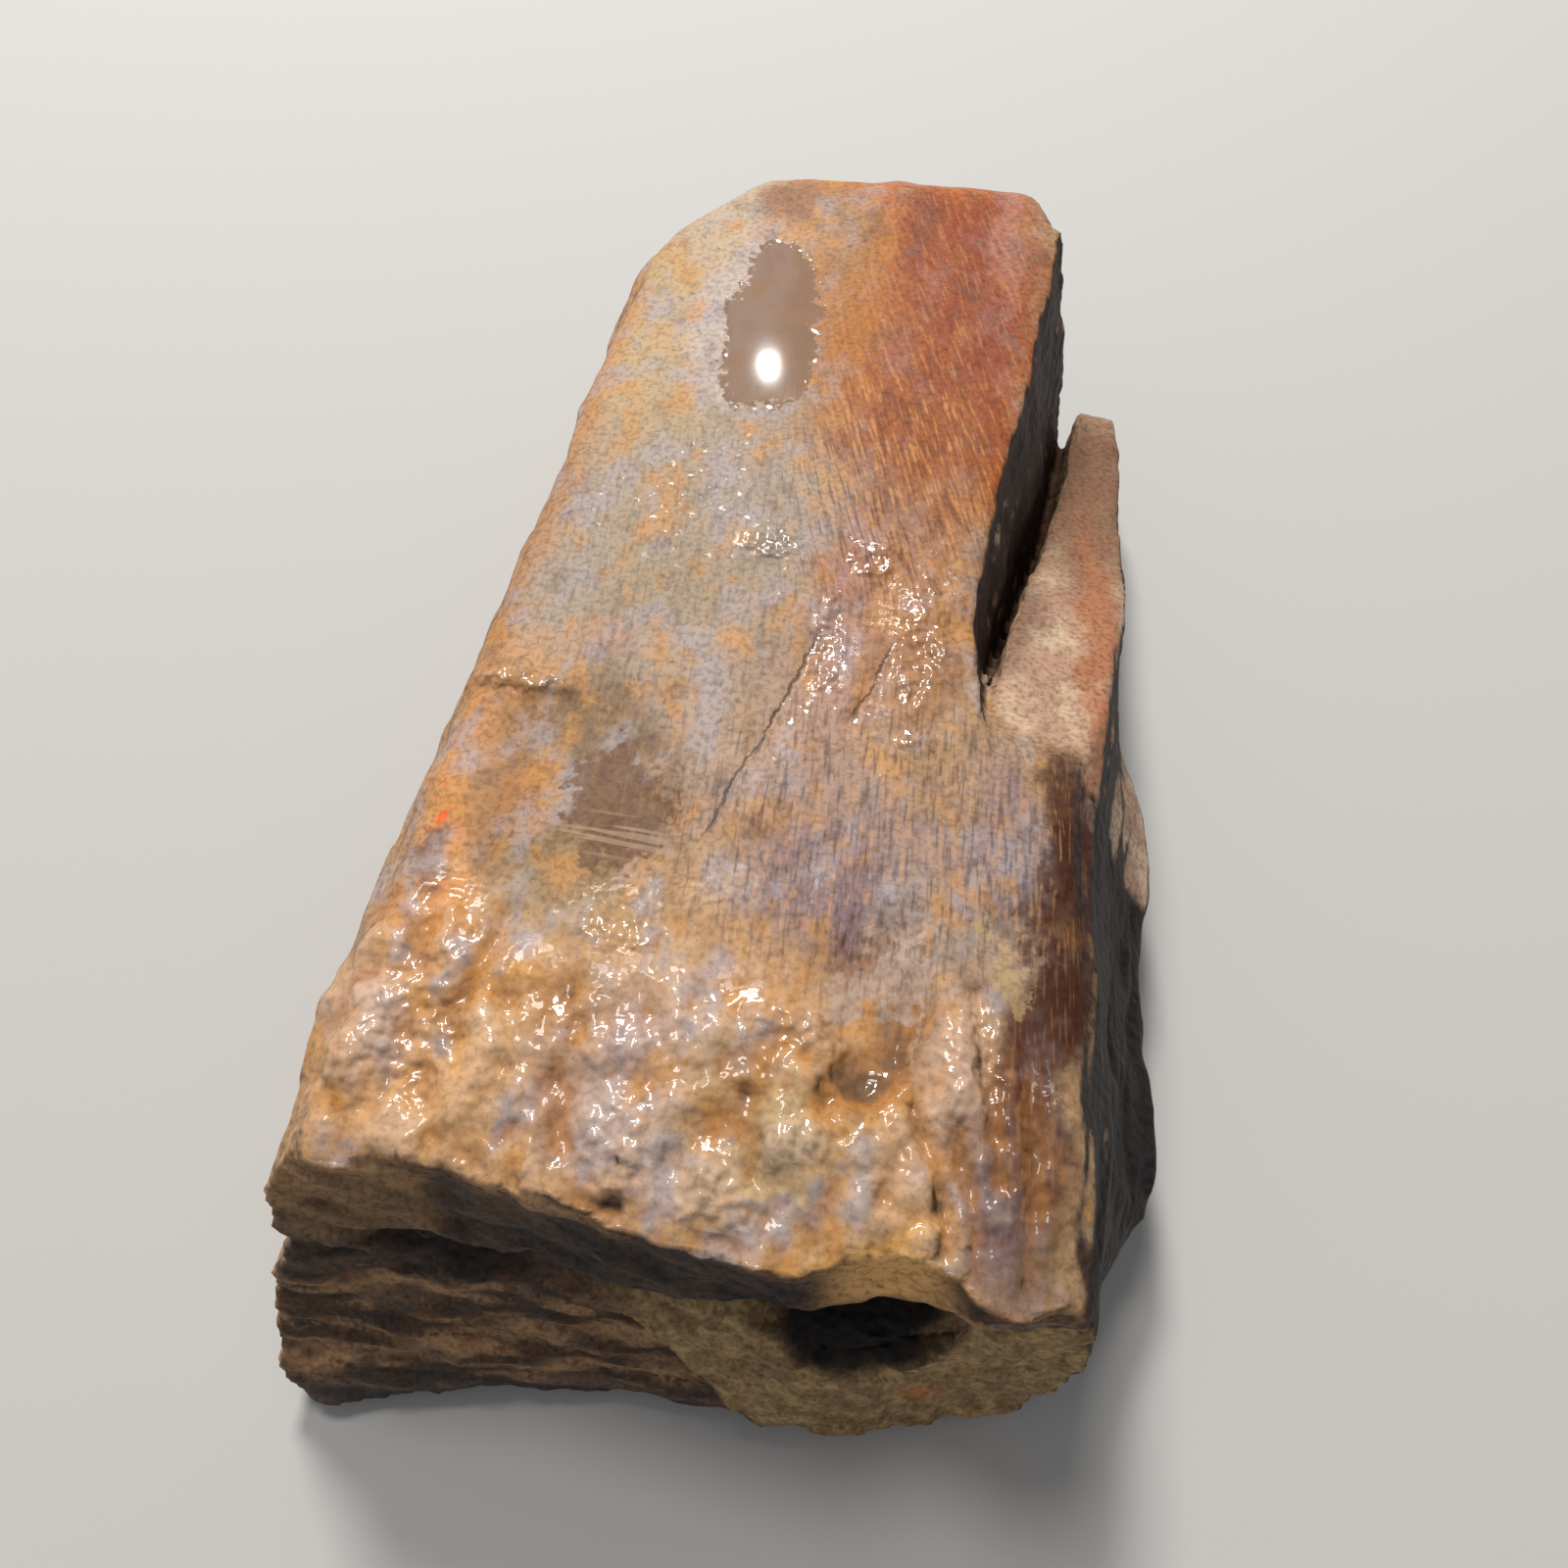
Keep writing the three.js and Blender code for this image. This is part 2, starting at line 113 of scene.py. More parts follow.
def near_line(points, route, half_width):
    """1 on a route of (x, y) points, falling to 0 beside it."""
    away = np.full(len(points), 1e9)
    for a, b in zip(route, route[1:]):
        a, b = np.array(a, float), np.array(b, float)
        along = np.clip((points[:, :2] - a) @ (b - a) / ((b - a) @ (b - a)), 0, 1)
        away = np.minimum(away, np.linalg.norm(points[:, :2] - a - along[:, None] * (b - a), axis=1))
    return np.exp(-((away / half_width) ** 2))


# The camera, at the photograph's viewing angle.

def place_camera():
    lens = bpy.data.cameras.new("view")
    lens.sensor_width = SENSOR
    lens.sensor_height = SENSOR
    lens.lens = SENSOR * FOCAL_PIXELS / FRAME_PIXELS
    lens.clip_start = 0.001
    camera = bpy.data.objects.new("view", lens)
    bpy.context.scene.collection.objects.link(camera)
    camera.location = Vector(CAMERA_PLACE) * MM
    camera.rotation_euler = (CAMERA_TILT, 0, CAMERA_TURN)
    bpy.context.scene.camera = camera


# The stone's surface.

# Swells and hollows of the polished top: x, y, half widths, height and turn.
Form = namedtuple("Form", "name x y half_x half_y height turn", defaults=(0.0,))
FORMS = [
    Form("golden lobe", -12.4, -32.4, 1.3, 3.0, 0.5, -14),
    Form("hollow left of the lobe", -14.4, -31.2, 0.9, 3.4, -0.35, -14),
    Form("left knob, far", -18.6, -26.6, 1.3, 1.1, 0.3),
    Form("left knob, middle", -17.6, -29.4, 1.5, 1.2, 0.35),
    Form("left knob, near", -18.4, -32.6, 1.4, 1.3, 0.35),
    Form("left knob, at the lip", -16.0, -35.4, 1.8, 1.2, 0.35),
    Form("grey knob at the lip", -4.7, -35.2, 1.5, 2.1, 0.45, 8),
    Form("grey swell", -5.6, -30.8, 2.2, 1.6, 0.3),
    Form("knob beside the crack's end", -8.2, -24.0, 1.8, 1.0, 0.3, 10),
    Form("dip in the near third", -9.4, -28.2, 1.4, 1.8, -0.35),
    Form("knob at the middle lip", 0.3, -36.6, 1.7, 1.3, 0.3),
    Form("olive swell", 3.6, -33.4, 1.8, 1.5, 0.3),
    Form("valley above the pit", 8.1, -26.9, 0.9, 2.0, -0.75, -8),
    Form("crystal pit", 6.4, -30.0, 1.5, 1.1, -0.85, 20),
    Form("ridge right of the valley", 10.7, -28.4, 1.3, 3.2, 0.5, 14),
    Form("knob right of the pit", 9.6, -33.6, 1.2, 1.8, 0.25, 10),
    Form("disc", 6.7, -24.1, 2.3, 1.5, -0.2),
    Form("tan window", 8.4, -12.0, 1.8, 1.6, -0.15),
    Form("knob by the crevice's head", 7.0, -10.6, 1.2, 0.6, 0.25),
    Form("chalcedony window", -7.0, 22.0, 2.8, 7.0, -0.12),
    Form("near side of the step", -16.0, -12.8, 3.4, 2.4, -0.3),
]
# Lengthwise grooves: (x, y) points, half width and depth.
GROOVES = [
    ([(11.6, -24.5), (12.6, -29.0), (13.2, -33.5)], 0.45, 0.56),
    ([(9.0, -30.5), (10.4, -33.6), (11.2, -37.0)], 0.4, 0.56),
    ([(11.3, -31.5), (12.3, -35.0), (12.7, -38.0)], 0.4, 0.48),
    ([(1.0, -31.5), (1.8, -35.2)], 0.4, 0.48),
    ([(-7.8, -29.5), (-9.0, -33.5)], 0.45, 0.4),
    ([(-12.9, -24.0), (-13.6, -29.0)], 0.5, 0.48),
    ([(14.2, -25.0), (14.9, -33.0), (15.0, -38.0)], 0.4, 0.4),
    ([(4.6, -31.6), (2.6, -32.4)], 0.4, 0.4),
]
CRACK = [(0.6, -3.4), (-0.7, -8.4), (-2.4, -13.4), (-3.9, -18.6)]
SHORT_CRACK = [(4.9, -3.6), (4.0, -7.4), (3.1, -9.8)]
# Places where the polish stands in small lumps or looks wet: x, y, half widths and both shares.
LUMPY = [
    (-3.0, -33.0, 22.0, 6.5, 1.0, 1.0),
    (-18.0, -29.0, 5.0, 6.0, 1.0, 1.0),
    (5.5, -2.0, 4.6, 8.0, 0.5, 0.1),
    (-8.0, 1.0, 9.0, 7.0, 0.15, 0.0),
    (-7.0, -23.4, 4.0, 2.2, 0.5, 0.15),
    (2.0, -22.0, 8.0, 8.0, 0.3, 0.05),
]
# Clusters of small glossy beads: x, y and half widths.
BEADS = [
    (-16.5, -30.5, 3.2, 5.0), (-7.0, -24.2, 2.6, 1.3), (-5.0, -35.0, 1.8, 2.8), (0.3, -36.6, 2.4, 1.6),
    (4.0, -33.0, 1.6, 1.4), (11.6, -28.4, 1.9, 3.6), (1.2, -4.5, 1.2, 4.2), (6.6, -3.5, 1.6, 5.6),
    (3.0, 2.6, 1.8, 1.8), (-16.5, -9.8, 2.8, 0.7), (7.0, -10.6, 1.2, 0.7), (-3.4, 2.6, 2.2, 1.2),
    (3.4, -27.8, 3.0, 1.2),
]
CRACK_DEPTH = 0.22
# The ridge of the break's lower block, as x at the base and x for each mm up.
RIDGE_X = 5.3
RIDGE_LEAN = -0.87
# The top edge of the block, as x and height, and the dark hollow over it.
BLOCK_EDGE_X = (1.0, 3.0, 7.0, 9.5, 11.4, 13.0, 14.2)
BLOCK_EDGE_Z = (12.8, 11.6, 9.0, 8.8, 10.6, 12.2, 18.0)
HOLLOW_DEPTH = 1.4
STEP_LINE = -10.0  # y of the small step at the left edge
CLIFF_X = 11.4  # where the ledge starts beside the crevice's head
LEDGE_FROM = (-12.6, -9.6)  # y over which the ledge parts from the top


def copy_of_node():
    """The CAD node's mesh as a new object, its seams merged, in even faces."""
    bpy.ops.object.select_all(action="DESELECT")
    node = frame["nodes"][NODE]
    node.select_set(True)
    bpy.context.view_layer.objects.active = node
    bpy.ops.object.duplicate()
    stone = bpy.context.active_object
    stone.name = "polished_stone"
    stone.data.name = "polished_stone"
    stone.data.materials.clear()
    bpy.ops.object.parent_clear(type="CLEAR_KEEP_TRANSFORM")
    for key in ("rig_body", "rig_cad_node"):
        if key in stone:
            del stone[key]
    bpy.ops.object.mode_set(mode="EDIT")
    bpy.ops.mesh.select_all(action="SELECT")
    bpy.ops.mesh.remove_doubles(threshold=0.001 * MM)
    bpy.ops.mesh.normals_make_consistent(inside=False)
    bpy.ops.object.mode_set(mode="OBJECT")
    even = stone.modifiers.new("even", "REMESH")
    even.mode = "VOXEL"
    even.voxel_size = GRAIN_STEP * MM
    bpy.ops.object.modifier_apply(modifier=even.name)
    return stone


def read_points(stone):
    """The vertices in mm and their normals."""
    mesh = stone.data
    count = len(mesh.vertices)
    points = np.empty(count * 3)
    mesh.vertices.foreach_get("co", points)
    normals = np.empty(count * 3)
    mesh.vertices.foreach_get("normal", normals)
    return points.reshape(-1, 3) / MM, normals.reshape(-1, 3)


def write_points(stone, points):
    stone.data.vertices.foreach_set("co", (points * MM).ravel())
    stone.data.update()


def soften(stone, name, weights, repeat):
    """Smooths the mesh where the weights say so."""
    group = stone.vertex_groups.new(name=name)
    steps = np.round(np.clip(weights, 0, 1) * 10).astype(int)
    for level in range(1, 11):
        members = np.nonzero(steps == level)[0]
        if len(members):
            group.add(members.tolist(), level / 10, "REPLACE")
    calm = stone.modifiers.new(name, "SMOOTH")
    calm.factor = 0.5
    calm.iterations = repeat
    calm.vertex_group = group.name
    bpy.ops.object.modifier_apply(modifier=calm.name)
    stone.vertex_groups.clear()


def is_ledge(points):
    """How much a point belongs to the ledge on the right flank."""
    x, y, z = points.T
    beyond = smooth(x, CLIFF_X - 0.7, CLIFF_X + 0.7) * smooth(y, *LEDGE_FROM)
    below = smooth(z, TOP + 0.1, TOP - 1.6)
    return np.maximum(beyond * below, smooth(x, 9.9, 10.9) * smooth(y, -5, -3) * smooth(z, 22, 21))


def is_top(points, normals):
    """How much a point belongs to the polished top, which ends at the lip of the broken end."""
    at_lip = smooth(points[:, 1], -34, -36)
    facing = smooth(normals[:, 2], 0.45, 0.8) * (1 - at_lip) + smooth(normals[:, 2], 0.72, 0.9) * at_lip
    high = smooth(points[:, 2], 17, 19.5) * (1 - at_lip) + smooth(points[:, 2], 20.5, 21.5) * at_lip
    return facing * high * (1 - is_ledge(points))


def zone_shares(points, normals):
    """How much each point belongs to the ledge, the polished top, the broken end and the walls."""
    ledge = is_ledge(points) * smooth(normals[:, 2], 0.3, 0.7)
    top = is_top(points, normals)
    broken = smooth(points[:, 1], -30.5, -33.5) * (1 - top) * smooth(np.abs(normals[:, 0]), 0.95, 0.8)
    wall = np.clip(1 - top - ledge - broken, 0, 1)
    return {"ledge": ledge, "top": top, "broken": broken, "wall": wall}


def lumpiness(points):
    """How strongly each place stands in lumps, and how wet it looks."""
    lumpy, wet = np.zeros(len(points)), np.zeros(len(points))
    for x, y, half_x, half_y, lumps, shine in LUMPY:
        inside = smooth(mound(points, x, y, half_x, half_y), 0.15, 0.6)
        lumpy, wet = np.maximum(lumpy, lumps * inside), np.maximum(wet, shine * inside)
    return lumpy, wet


def top_height(points):
    """Height of the polished top's own relief."""
    lumpy, _ = lumpiness(points)
    wander = points + np.stack([ripple(points, (3, 3, 3), s) for s in (4.0, 9.0, 14.0)], axis=1) * 0.7
    lumps = 0.5 * ripple(points, (1.8, 2.7, 9), 2.1) + 0.26 * ripple(points, (0.95, 1.3, 9), 5.6)
    small = 0.5 * (knobs(wander * (1, 0.75, 0.1), (1.4, 1.4, 1.4), 3.3) - 0.6)
    fine = 0.06 * ripple(points, (0.55, 0.8, 9), 7.4)
    height = lumpy * (lumps + small + fine)
    height += 0.07 * ripple(points, (2.6, 5, 9), 8.8) + 0.03 * ripple(points, (0.8, 3, 9), 1.4)
    for form in FORMS:
        height += form.height * mound(points, form.x, form.y, form.half_x, form.half_y, form.turn)
    for route, half_width, depth in GROOVES:
        height -= depth * near_line(wander * 0.4 + points * 0.6, route, half_width)
    for route in (CRACK, SHORT_CRACK):
        height -= CRACK_DEPTH * near_line(wander * 0.35 + points * 0.65, route, 0.25)
    step_y = STEP_LINE + 0.9 * ripple(points, (2.2, 9, 9), 6.0) + 0.5 * ripple(points, (0.9, 9, 9), 3.0)
    at_left = smooth(points[:, 0], -11.5, -14)
    rise = smooth(points[:, 1], step_y - 0.4, step_y) * smooth(points[:, 1], step_y + 2.4, step_y)
    return height + 0.35 * at_left * rise


def over_block(points):
    """How many mm a point of the broken end lies over the block's uneven top edge."""
    edge = np.interp(points[:, 0], BLOCK_EDGE_X, BLOCK_EDGE_Z)
    return points[:, 2] - edge + 0.6 * ripple(points, (2, 2, 2), 5.0)


def break_height(points):
    """How far the broken face stands out: layers at the left, folds in the hollows, grains right."""
    x, y, z = points.T
    falling = points + np.stack([0 * x, 0 * x, 0.34 * x], axis=1)
    level = points + np.stack([0 * x, 0 * x, 0.1 * x], axis=1)
    ridge = x - RIDGE_X - RIDGE_LEAN * z
    block = smooth(ridge, -0.5, 0.5)
    hollow = smooth(z, 11.5, 13) * smooth(z, 21.5, 19)
    layers = 0.42 * ripple(level, (4.5, 9, 0.9), 2.7) + 0.2 * ripple(level, (2, 9, 0.5), 8.1)
    folds = 0.5 * ripple(falling, (5, 9, 0.9), 5.9) + 0.25 * ripple(falling, (2, 9, 0.55), 1.2)
    grains = 0.35 * ripple(points, (2.6, 9, 1.8), 6.8) + 0.2 * ripple(points, (1.2, 1.2, 1.0), 4.4)
    low = 1 - hollow
    relief = low * (1 - block) * layers + 1.4 * hollow * folds * (1 - 0.6 * block) + block * grains
    sunk = smooth(over_block(points), -0.3, 0.9) * smooth(z, 19, 17)
    sunk *= smooth(x, 1, 4) * smooth(x, 14.2, 13)
    step = 0.5 * smooth(ridge, -0.6, 0.1) * smooth(ridge, 3.5, 0.3) * smooth(z, 13.5, 11)
    return relief + step - HOLLOW_DEPTH * sunk + 0.1 * ripple(points, (0.8, 0.8, 0.6), 3.9)


def wall_height(points):
    """Height of the rough walls: lengthwise swells, scallops and a fine grain."""
    x, y, z = points.T
    swells = 0.3 * ripple(points, (2.6, 5, 1.9), 6.6) + 0.16 * ripple(points, (1.2, 2.2, 0.9), 2.9)
    satin = smooth(x, 12, 15) * smooth(z, 15, 18) * smooth(y, 2, -2)
    return swells * (1 - 0.85 * satin) + 0.06 * ripple(points, (0.6, 1.2, 0.6), 7.7)


def ledge_height(points):
    """The ledge is smooth, with faint scallops and a bit of rock in the crevice's head."""
    scallops = 0.12 * ripple(points, (1.8, 3.0, 9), 5.3) + 0.05 * ripple(points, (0.7, 1.0, 9), 8.2)
    x, y, z = points.T
    bit = np.exp(-((x - 10.9) / 0.7) ** 2 - ((y + 3.2) / 1.2) ** 2 - ((z - 19) / 3) ** 2)
    return scallops + 0.7 * bit


def thin_out_base(stone):
    """The flat spot that the stone rests on needs few faces."""
    bpy.ops.object.mode_set(mode="EDIT")
    bpy.ops.mesh.select_all(action="DESELECT")
    bpy.ops.object.mode_set(mode="OBJECT")
    mesh = stone.data
    centres = np.empty(len(mesh.polygons) * 3)
    mesh.polygons.foreach_get("center", centres)
    mesh.polygons.foreach_set("select", centres.reshape(-1, 3)[:, 2] < 0.15 * MM)
    bpy.ops.object.mode_set(mode="EDIT")
    bpy.ops.mesh.select_mode(type="FACE")
    bpy.ops.mesh.decimate(ratio=0.12)
    bpy.ops.mesh.select_all(action="DESELECT")
    bpy.ops.object.mode_set(mode="OBJECT")


def carve_stone():
    stone = copy_of_node()
    points, normals = read_points(stone)
    soften(stone, "all over", np.ones(len(points)), 3)
    points, normals = read_points(stone)
    calm = np.maximum(smooth(normals[:, 2], 0.9, 0.97), 0.5 * smooth(np.abs(normals[:, 0]), 0.9, 0.98))
    calm *= 1 - smooth(points[:, 1], -31, -33) * smooth(points[:, 2], 20.5, 19)
    soften(stone, "calm faces", calm, 22)

    points, normals = read_points(stone)
    shares = zone_shares(points, normals)
    rest = smooth(-normals[:, 2], 0.5, 0.8)
    height = shares["top"] * top_height(points) + shares["broken"] * break_height(points)
    height += shares["wall"] * (1 - rest) * wall_height(points) + shares["ledge"] * ledge_height(points)
    mark(stone, "relief", height)
    points += normals * height[:, None]
    low, high = (np.array(corner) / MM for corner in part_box(NODE))
    points = np.clip(points, low, high + (0, 0, 0.4))
    window = region(points, *FLAT_OVAL, edge=0.3) * smooth(points[:, 2], 20, 21)
    level = np.median(points[window > 0.9, 2])
    points[:, 2] += window * (level - points[:, 2])
    write_points(stone, points)
    thin_out_base(stone)
    bpy.ops.object.shade_smooth()
    return stone


# The colours, which are painted on the vertices.

# Stains of the polished top, laid on in this order: x, y, half widths, turn in degrees, softness
# of the edge, colour and share.
Stain = namedtuple("Stain", "name x y half_x half_y turn edge colour share")
SOFT_STAINS = [
    Stain("cream far left", -13.5, 20, 6.5, 30, 0, 0.5, tone(190, 160, 118), 0.9),
    Stain("pale head", -12.0, 35, 4.2, 5.5, 0, 0.5, tone(190, 168, 144), 0.8),
    Stain("orange left rim", -18.0, 18, 1.7, 26, 0, 0.7, tone(200, 140, 92), 0.75),
    Stain("rust right", 5.0, 24, 7.4, 22, 0, 0.35, tone(156, 76, 28), 1.0),
    Stain("light crest", 1.0, 42, 9.0, 2.6, 0, 0.8, tone(182, 94, 42), 0.7),
    Stain("red flank", 8.0, 28, 3.2, 12, 0, 0.8, tone(142, 70, 44), 0.8),
    Stain("dark red streak", 2.9, 35, 1.0, 6.0, -3, 0.9, tone(126, 66, 42), 0.75),
    Stain("window's rim", -8.8, 23.0, 3.4, 10.0, 0, 0.2, tone(190, 176, 170), 0.8),
    Stain("brown beside the window", -3.6, 24.0, 1.8, 8.5, 0, 0.8, tone(158, 112, 76), 0.8),
    Stain("golden column", -0.9, 26, 1.9, 11, 0, 0.9, tone(176, 110, 36), 0.85),
    Stain("golden tail", -0.6, 17, 1.2, 4.2, 6, 0.9, tone(176, 110, 30), 0.7),
    Stain("pale orange head", -0.6, 39, 1.4, 4.2, 0, 0.8, tone(190, 122, 78), 0.7),
    Stain("pink right rim", 9.2, 36, 0.9, 8.0, 2, 0.9, tone(186, 128, 110), 0.65),
    Stain("brown above the window", -6.5, 37, 2.8, 2.9, 0, 0.5, tone(146, 100, 74), 0.85),
    Stain("lilac above the window", -7.6, 33.2, 1.8, 1.5, 0, 0.6, tone(176, 156, 150), 0.7),
    Stain("rust foot", 3.8, 9, 5.6, 8.5, 0, 0.45, tone(156, 86, 34), 0.9),
    Stain("grey middle", -8.0, 1.5, 12.5, 11.0, -8, 0.6, tone(158, 140, 116), 0.85),
    Stain("lilac grey by the rust", -5.0, 7.0, 4.6, 5.0, 0, 0.7, tone(168, 154, 144), 0.6),
    Stain("cool left", -16.0, 0.0, 3.4, 8.0, 0, 0.8, tone(164, 152, 142), 0.6),
    Stain("orange left edge", -19.0, -6.0, 1.5, 16, 0, 0.8, tone(188, 134, 88), 0.7),
    Stain("pink field", 2.0, -5.0, 3.4, 9.0, -6, 0.7, tone(178, 138, 124), 0.75),
    Stain("rusty heart", 2.2, 0.5, 1.6, 5.0, 0, 0.9, tone(162, 100, 72), 0.55),
    Stain("tan knobs", 7.0, -3.5, 3.2, 6.5, 0, 0.7, tone(172, 122, 82), 0.8),
    Stain("rosy spot", -12.0, -6.0, 1.5, 1.6, 0, 0.9, tone(186, 116, 92), 0.6),
    Stain("mauve by the crack", -7.0, -10.5, 5.0, 4.5, 20, 0.8, tone(180, 160, 148), 0.7),
    Stain("tan by the crack", -2.0, -15.0, 3.0, 7.0, 12, 0.8, tone(180, 150, 120), 0.7),
    Stain("mauve field", 5.5, -17.5, 9.6, 6.6, 0, 0.5, tone(162, 134, 120), 0.95),
    Stain("violet heart", 3.6, -20.0, 3.0, 3.4, 10, 0.8, tone(122, 98, 106), 0.8),
    Stain("violet right", 12.0, -16.5, 2.2, 4.5, 0, 0.8, tone(132, 114, 120), 0.65),
    Stain("grey-blue right", 10.0, -21.5, 3.5, 2.6, 0, 0.8, tone(162, 150, 138), 0.6),
    Stain("tan window", 8.6, -11.8, 2.3, 2.0, 0, 0.5, tone(172, 136, 96), 0.8),
    Stain("orange step", -16.0, -17.0, 4.0, 8.5, 0, 0.5, tone(206, 146, 90), 0.9),
    Stain("olive patch", -11.0, -16.5, 5.4, 7.0, 0, 0.45, tone(124, 96, 62), 0.9),
    Stain("orange flecks", -13.6, -17.6, 1.5, 3.6, 0, 0.9, tone(180, 116, 60), 0.7),
    Stain("olive floor", -10.5, -23.0, 5.0, 3.6, 0, 0.7, tone(166, 138, 100), 0.75),
    Stain("orange streak", -17.0, -23.5, 1.3, 4.6, 4, 0.7, tone(214, 138, 72), 0.85),
    Stain("purple-brown spot", -18.4, -21.0, 1.1, 1.3, 0, 0.5, tone(104, 74, 62), 0.85),
    Stain("tan field", -3.0, -31.0, 18.0, 7.6, 0, 0.35, tone(202, 158, 112), 0.95),
    Stain("orange left corner", -17.0, -30.5, 4.0, 6.6, 0, 0.7, tone(210, 156, 102), 0.75),
    Stain("golden lobe", -12.3, -32.6, 1.3, 3.2, -14, 0.6, tone(222, 166, 100), 0.8),
    Stain("lilac belly", -4.8, -32.4, 3.2, 4.8, 8, 0.7, tone(172, 150, 148), 0.85),
    Stain("lilac left", -18.0, -29.5, 2.0, 2.0, 0, 0.9, tone(196, 174, 164), 0.6),
    Stain("olive swell", 2.6, -33.0, 4.2, 4.4, 0, 0.8, tone(184, 158, 116), 0.8),
    Stain("pink by the valley", 1.6, -27.0, 2.6, 2.2, 0, 0.8, tone(192, 152, 122), 0.7),
    Stain("brown valley", 8.3, -27.4, 1.3, 2.8, -8, 0.6, tone(128, 88, 54), 0.85),
    Stain("pit's shade", 6.6, -29.8, 1.8, 1.3, 0, 0.6, tone(122, 94, 68), 0.75),
    Stain("rosy ridge", 11.0, -29.5, 1.8, 4.5, 14, 0.7, tone(202, 164, 138), 0.8),
    Stain("tan right", 9.5, -34.5, 3.0, 3.2, 0, 0.7, tone(202, 160, 120), 0.8),
    Stain("lilac strip", 13.7, -34.8, 1.6, 4.6, 10, 0.5, tone(108, 86, 88), 0.9),
    Stain("edge band", 15.9, -23.0, 1.7, 15.5, 0, 0.4, tone(70, 34, 14), 1.0),
    Stain("dark red strip", 14.2, -28.8, 1.1, 5.2, 4, 0.5, tone(84, 44, 30), 0.9),
    Stain("golden lip", 7.4, -37.4, 3.4, 0.9, 20, 0.5, tone(210, 152, 60), 0.9),
    Stain("amber lip", -1.0, -37.8, 8.0, 0.9, -6, 0.9, tone(204, 152, 96), 0.7),
]
# Stains with a crisp edge, laid over the soft ones. Where they overlap, the first one wins.
CRISP_STAINS = [
    Stain("chalcedony window, far", -6.6, 26.2, 3.5, 5.6, 0, 0.06, tone(122, 84, 52), 1),
    Stain("chalcedony window, near", -6.4, 19.6, 3.2, 4.7, 0, 0.06, tone(116, 80, 48), 1),
    Stain("disc", 6.6, -24.1, 2.3, 1.7, 0, 0.1, tone(186, 160, 144), 1),
    Stain("olive window", 12.9, -22.4, 1.0, 1.8, 0, 0.3, tone(180, 152, 112), 1),
    Stain("dark shape", -8.3, -16.6, 2.8, 3.3, 18, 0.12, tone(114, 78, 50), 1),
    Stain("red spot", -18.1, -19.0, 0.5, 0.45, 0, 0.5, tone(236, 92, 24), 1),
]
CRISP_RAGGEDNESS = 14.0
RUST_OVAL = (5.5, 24, 8, 24)
ROCK_ROUGHNESS = 0.78
SATIN_ROUGHNESS = 0.58
# Depths of the fine grain in mm, on rock, on satin polish, where it is wet, and more on beads.
ROCK_GRAIN = 0.26
SATIN_GRAIN = 0.07
WET_GRAIN = 0.14
BEAD_GRAIN = 0.16
FLAT_OVAL = (-6.9, 22.5, 5.4, 11.5)  # the chalcedony window and its rim are polished flat


def blended(colours, colour, share):
    return colours + (np.array(colour) - colours) * np.clip(share, 0, 1)[:, None]


def clouds(points, size, seed, stretch=(1, 1.35, 6)):
    """Soft clouds from -1 to 1 with finer clouds over them. Size is in mm."""
    total = np.zeros(len(points))
    for layer in range(3):
        grain = size * 0.45 ** layer
        total += 0.6 ** layer * ripple(points, [grain * s for s in stretch], seed + 3.7 * layer)
    return total


def reach_of(where, stain):
    """0 at the middle of a stain and 1 at its outline."""
    c, s = math.cos(math.radians(stain.turn)), math.sin(math.radians(stain.turn))
    dx, dy = where[:, 0] - stain.x, where[:, 1] - stain.y
    return np.hypot((dx * c + dy * s) / stain.half_x, (dy * c - dx * s) / stain.half_y)


def region(points, x, y, half_x, half_y, edge=0.5, turn=0):
    """1 in an oval of the top and 0 outside it."""
    oval = Stain("", x, y, half_x, half_y, turn, edge, None, 1)
    return smooth(reach_of(points, oval), 1 + edge, 1 - edge)


def wandering(points, seed, fine=1.0):
    """Places of the top, shifted so that outlines drawn with them wander."""
    swells = np.stack([ripple(points, (4, 6, 9), s) for s in (3.1, 7.3)], axis=1)
    ragged = np.stack([ripple(points, (1.2, 1.8, 9), s + seed) for s in (1.7, 6.1)], axis=1)
    crumbs = np.stack([ripple(points, (0.5, 0.8, 9), s + seed) for s in (4.9, 2.2)], axis=1)
    shift = ragged * (1.0, 1.6) + crumbs * (0.6, 0.9)
    return points[:, :2] + swells * (1.7, 2.4) + fine * shift


